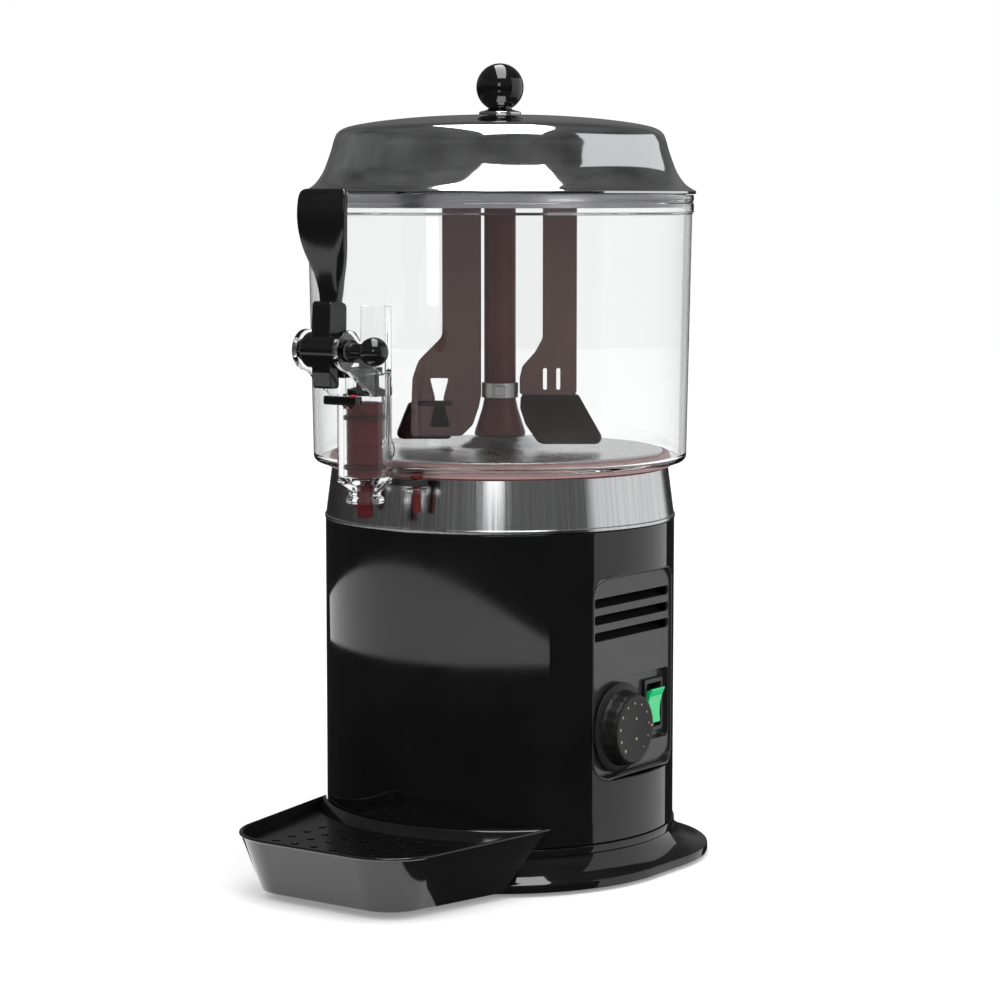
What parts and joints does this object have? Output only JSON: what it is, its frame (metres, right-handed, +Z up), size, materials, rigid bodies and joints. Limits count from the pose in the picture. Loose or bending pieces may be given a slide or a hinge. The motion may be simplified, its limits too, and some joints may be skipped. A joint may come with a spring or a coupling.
{
  "type": "hot drink dispenser",
  "caption": "Countertop heated dispenser: clear bowl with turning stirrer, domed lid, lever tap with lifting piston, thermostat knob, rocker switch and drip tray.",
  "frame": {"origin": "centre of the bounding box on the counter, under the rubber feet", "axes": "+Z up, the tap and drip tray face -Y, the control panel faces +X"},
  "size_m": [0.233, 0.3026, 0.478],
  "materials": {
    "gloss_black": "high gloss black",
    "matte_black": "satin black",
    "chrome": "polished",
    "steel": "brushed stainless steel",
    "clear": "clear moulded polycarbonate",
    "stirrer_brown": "satin dark red-brown",
    "tap_red": "satin dark red",
    "seal_red": "soft silicone",
    "green": "lit translucent green",
    "rubber": "matt",
    "zinc": "zinc plated",
    "motor": "dark enamel"
  },
  "bodies": {
    "chassis": {"base_pan": "gloss_black", "bottom_cover": "zinc", "cover_screw_rear_right": "zinc", "cover_screw_rear_left": "zinc", "cover_screw_front_right": "zinc", "cover_screw_front_left": "zinc", "rubber_foot_rear_right": "rubber", "rubber_foot_rear_left": "rubber", "rubber_foot_front_right": "rubber", "rubber_foot_front_left": "rubber", "body_shell": "gloss_black", "steel_band": "steel", "cord_gland": "matte_black", "control_panel": "gloss_black", "switch_housing": "matte_black", "thermostat_body": "zinc", "heated_plate": "steel", "heating_element": "zinc", "standpipe": "steel", "shaft_bush_lower": "matte_black", "shaft_bush_upper": "matte_black", "motor_bracket": "zinc", "gearbox": "zinc", "gearmotor": "motor", "terminal_block": "matte_black", "bowl_seal": "seal_red", "tray_hanger": "matte_black"},
    "bowl": {"bowl": "clear", "tap_barrel": "clear", "lever_pin": "gloss_black", "tap_clip": "matte_black", "lock_pin_right": "tap_red", "lock_pin_left": "tap_red", "lock_collar_right": "clear", "lock_collar_left": "clear"},
    "lid": {"lid": "chrome", "lid_knob_collar": "chrome", "lid_knob": "gloss_black"},
    "stirrer": {"stirrer_column": "stirrer_brown", "stirrer_hub": "stirrer_brown", "stirrer_ring": "steel", "stirrer_blade_left": "stirrer_brown", "stirrer_blade_right": "stirrer_brown"},
    "drive": {"drive_shaft": "steel"},
    "lever": {"tap_lever": "gloss_black"},
    "piston": {"tap_piston": "tap_red", "piston_ring_lower": "rubber", "piston_ring_upper": "rubber", "piston_head": "matte_black", "lift_bar": "matte_black"},
    "dial": {"thermostat_knob": "matte_black"},
    "rocker": {"rocker": "green"},
    "tray": {"drip_tray": "gloss_black"},
    "grid": {"tray_grid": "matte_black"}
  },
  "joints": [
    {"name": "bowl_lift", "type": "slide", "parent": "chassis", "child": "bowl", "axis": [0, 0, 1], "range_m": [0, 0.2]},
    {"name": "lid_lift", "type": "slide", "parent": "bowl", "child": "lid", "axis": [0, 0, 1], "range_m": [0, 0.1]},
    {"name": "stirrer_spin", "type": "hinge", "parent": "bowl", "child": "stirrer", "pos_m": [0, 0.03475, 0.3], "axis": [0, 0, 1], "continuous": true},
    {"name": "shaft_spin", "type": "hinge", "parent": "chassis", "child": "drive", "pos_m": [0, 0.03475, 0.2], "axis": [0, 0, 1], "continuous": true},
    {"name": "lever_pull", "type": "hinge", "parent": "bowl", "child": "lever", "pos_m": [0, -0.12975, 0.3146], "axis": [1, 0, 0], "range_deg": [0, 20], "stiffness_Nm_per_rad": 0.3},
    {"name": "piston_lift", "type": "slide", "parent": "bowl", "child": "piston", "axis": [0, 0, 1], "range_m": [0, 0.015]},
    {"name": "dial_turn", "type": "hinge", "parent": "chassis", "child": "dial", "pos_m": [0.0952, 0.01725, 0.0915], "axis": [1, 0, 0], "range_deg": [-270, 0]},
    {"name": "rocker_tip", "type": "hinge", "parent": "chassis", "child": "rocker", "pos_m": [0.0925, 0.06175, 0.098], "axis": [0, 1, 0], "range_deg": [-18, 0]},
    {"name": "tray_pull", "type": "slide", "parent": "chassis", "child": "tray", "axis": [0, -1, 0], "range_m": [0, 0.12]},
    {"name": "grid_lift", "type": "slide", "parent": "tray", "child": "grid", "axis": [0, 0, 1], "range_m": [0, 0.04]}
  ],
  "couplings": [
    {"joint": "stirrer_spin", "follows": "shaft_spin", "ratio": 1},
    {"joint": "piston_lift", "follows": "lever_pull", "m_per_rad": 0.036}
  ]
}
